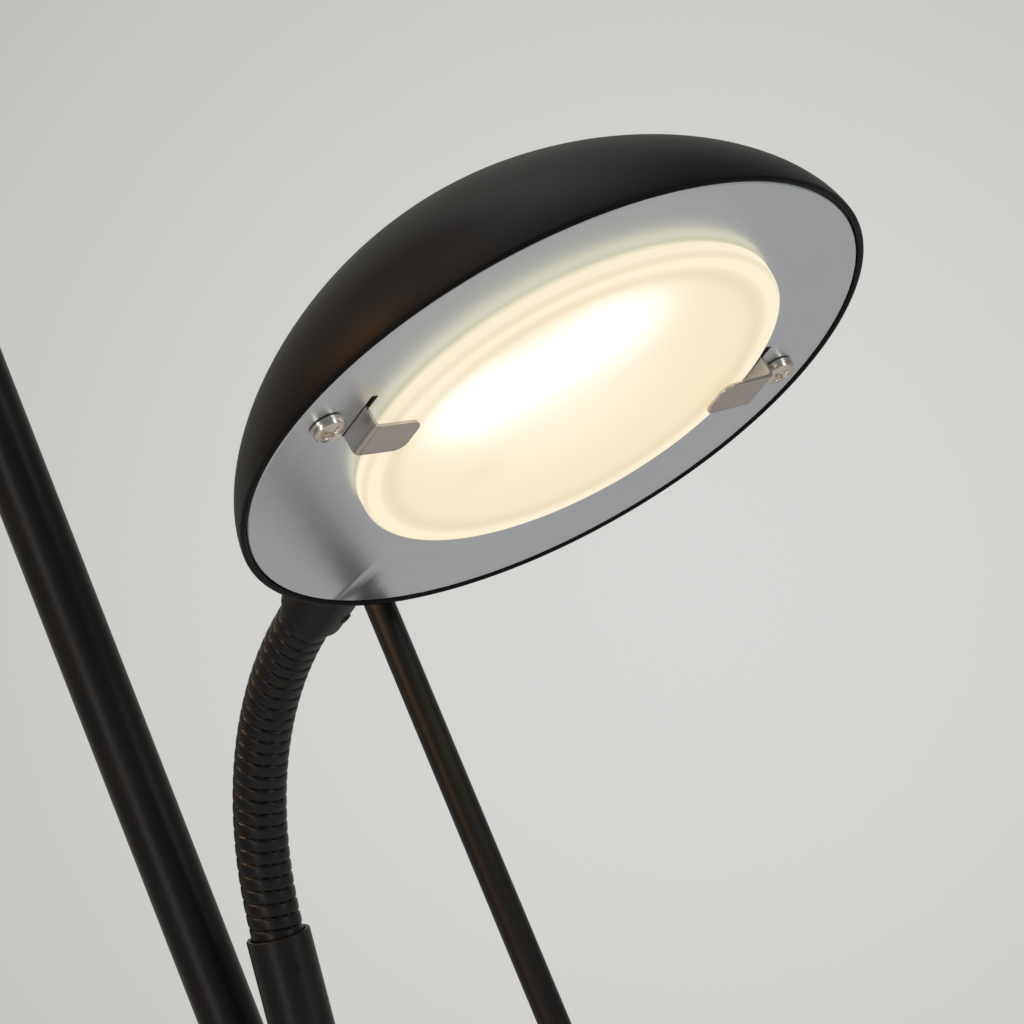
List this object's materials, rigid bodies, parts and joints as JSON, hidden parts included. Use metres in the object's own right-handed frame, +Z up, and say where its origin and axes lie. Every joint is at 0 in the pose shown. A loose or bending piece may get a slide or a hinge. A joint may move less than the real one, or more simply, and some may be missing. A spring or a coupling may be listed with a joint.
{
  "type": "torchiere floor lamp",
  "caption": "Black floor lamp: weighted round base, slim pole, upward bowl, and a domed reading head on a flexible neck.",
  "frame": {"origin": "centre of the felt under the base, on the floor, on the pole's axis", "axes": "+Z up along the pole; +X towards the side the reading arm leans to; the arm and its neck lie in the XZ plane"},
  "size_m": [0.4308, 0.2848, 1.7994],
  "materials": {
    "black_felt": "black felt",
    "black_paint": "satin black powder coat",
    "black_plastic": "matt black moulded plastic",
    "brushed_aluminium": "finely turned satin aluminium",
    "cast_iron": "raw cast iron",
    "frosted_glass": "frosted glass with clear polished edge, warm lit",
    "led_white": "white LED module",
    "nickel": "satin nickel plate",
    "reflector_aluminium": "bright spun aluminium",
    "sink_aluminium": "plain turned aluminium",
    "zinc_steel": "zinc-plated steel"
  },
  "bodies": {
    "stand": {"arm_tube": "black_paint", "base_cover": "black_paint", "base_felt": "black_felt", "base_plate": "zinc_steel", "base_weight": "cast_iron", "bowl_bolt": "zinc_steel", "bowl_carrier": "zinc_steel", "bowl_clip_left": "nickel", "bowl_clip_right": "nickel", "bowl_collar": "black_paint", "bowl_glass": "frosted_glass", "bowl_heat_sink": "sink_aluminium", "bowl_led_module": "led_white", "bowl_plate": "brushed_aluminium", "bowl_reflector": "reflector_aluminium", "bowl_screw_left": "nickel", "bowl_screw_right": "nickel", "bowl_shell": "black_paint", "branch_body": "black_paint", "branch_cover": "black_paint", "cord_gland": "black_plastic", "cover_screw": "zinc_steel", "dimmer_reading": "black_plastic", "dimmer_uplight": "black_plastic", "led_driver": "black_plastic", "neck_foot": "black_paint", "neck_sleeve": "black_paint", "pole_collar": "black_paint", "pole_lower": "black_paint", "pole_middle": "black_paint", "pole_stud": "zinc_steel", "pole_upper": "black_paint", "sleeve_screw": "black_paint", "tie_bolt": "zinc_steel"},
    "link_1": {"neck_link_1": "black_paint"},
    "link_2": {"neck_link_2": "black_paint"},
    "link_3": {"neck_link_3": "black_paint"},
    "link_4": {"neck_link_4": "black_paint"},
    "neck_tip": {"neck_end": "black_paint", "ferrule": "black_paint", "ferrule_screw": "black_paint"},
    "reading_head": {"head_apex_screw": "black_paint", "head_clip_left": "nickel", "head_clip_right": "nickel", "head_glass": "frosted_glass", "head_heat_sink": "sink_aluminium", "head_hub": "black_paint", "head_led_module": "led_white", "head_plate": "brushed_aluminium", "head_reflector": "reflector_aluminium", "head_screw_left": "nickel", "head_screw_right": "nickel", "head_shell": "black_paint", "head_yoke": "zinc_steel", "hub_bolt": "zinc_steel", "handle_rod": "black_paint"},
    "uplight_dial": {"knob_uplight": "black_plastic"},
    "reading_dial": {"knob_reading": "black_plastic"}
  },
  "joints": [
    {"name": "neck_bend_1", "type": "hinge", "parent": "stand", "child": "link_1", "pos_m": [0.03489, 0, 1.20875], "axis": [0, 1, 0], "range_deg": [-15, 13]},
    {"name": "neck_side_1", "type": "hinge", "parent": "link_1", "child": "link_2", "pos_m": [0.04238, 0, 1.22737], "axis": [0.8864, 0, -0.463], "range_deg": [-20, 20]},
    {"name": "neck_bend_2", "type": "hinge", "parent": "link_2", "child": "link_3", "pos_m": [0.05338, 0, 1.24415], "axis": [0, 1, 0], "range_deg": [-15, 13]},
    {"name": "neck_side_2", "type": "hinge", "parent": "link_3", "child": "link_4", "pos_m": [0.06746, 0, 1.25845], "axis": [0.6398, 0, -0.7685], "range_deg": [-20, 20]},
    {"name": "neck_bend_3", "type": "hinge", "parent": "link_4", "child": "neck_tip", "pos_m": [0.08408, 0, 1.26971], "axis": [0, 1, 0], "range_deg": [-15, 13]},
    {"name": "head_swivel", "type": "hinge", "parent": "neck_tip", "child": "reading_head", "pos_m": [0.10908, 0, 1.28076], "axis": [0.9219, 0, 0.3875], "range_deg": [-50, 50]},
    {"name": "uplight_dimmer", "type": "hinge", "parent": "stand", "child": "uplight_dial", "pos_m": [0.036, 0, 1.0675], "axis": [-1, 0, 0], "range_deg": [0, 270]},
    {"name": "reading_dimmer", "type": "hinge", "parent": "stand", "child": "reading_dial", "pos_m": [0.036, 0, 1.1025], "axis": [-1, 0, 0], "range_deg": [0, 270]}
  ],
  "couplings": [
    {"joint": "neck_bend_2", "follows": "neck_bend_1", "ratio": 1},
    {"joint": "neck_bend_3", "follows": "neck_bend_1", "ratio": 1},
    {"joint": "neck_side_2", "follows": "neck_side_1", "ratio": 1}
  ]
}
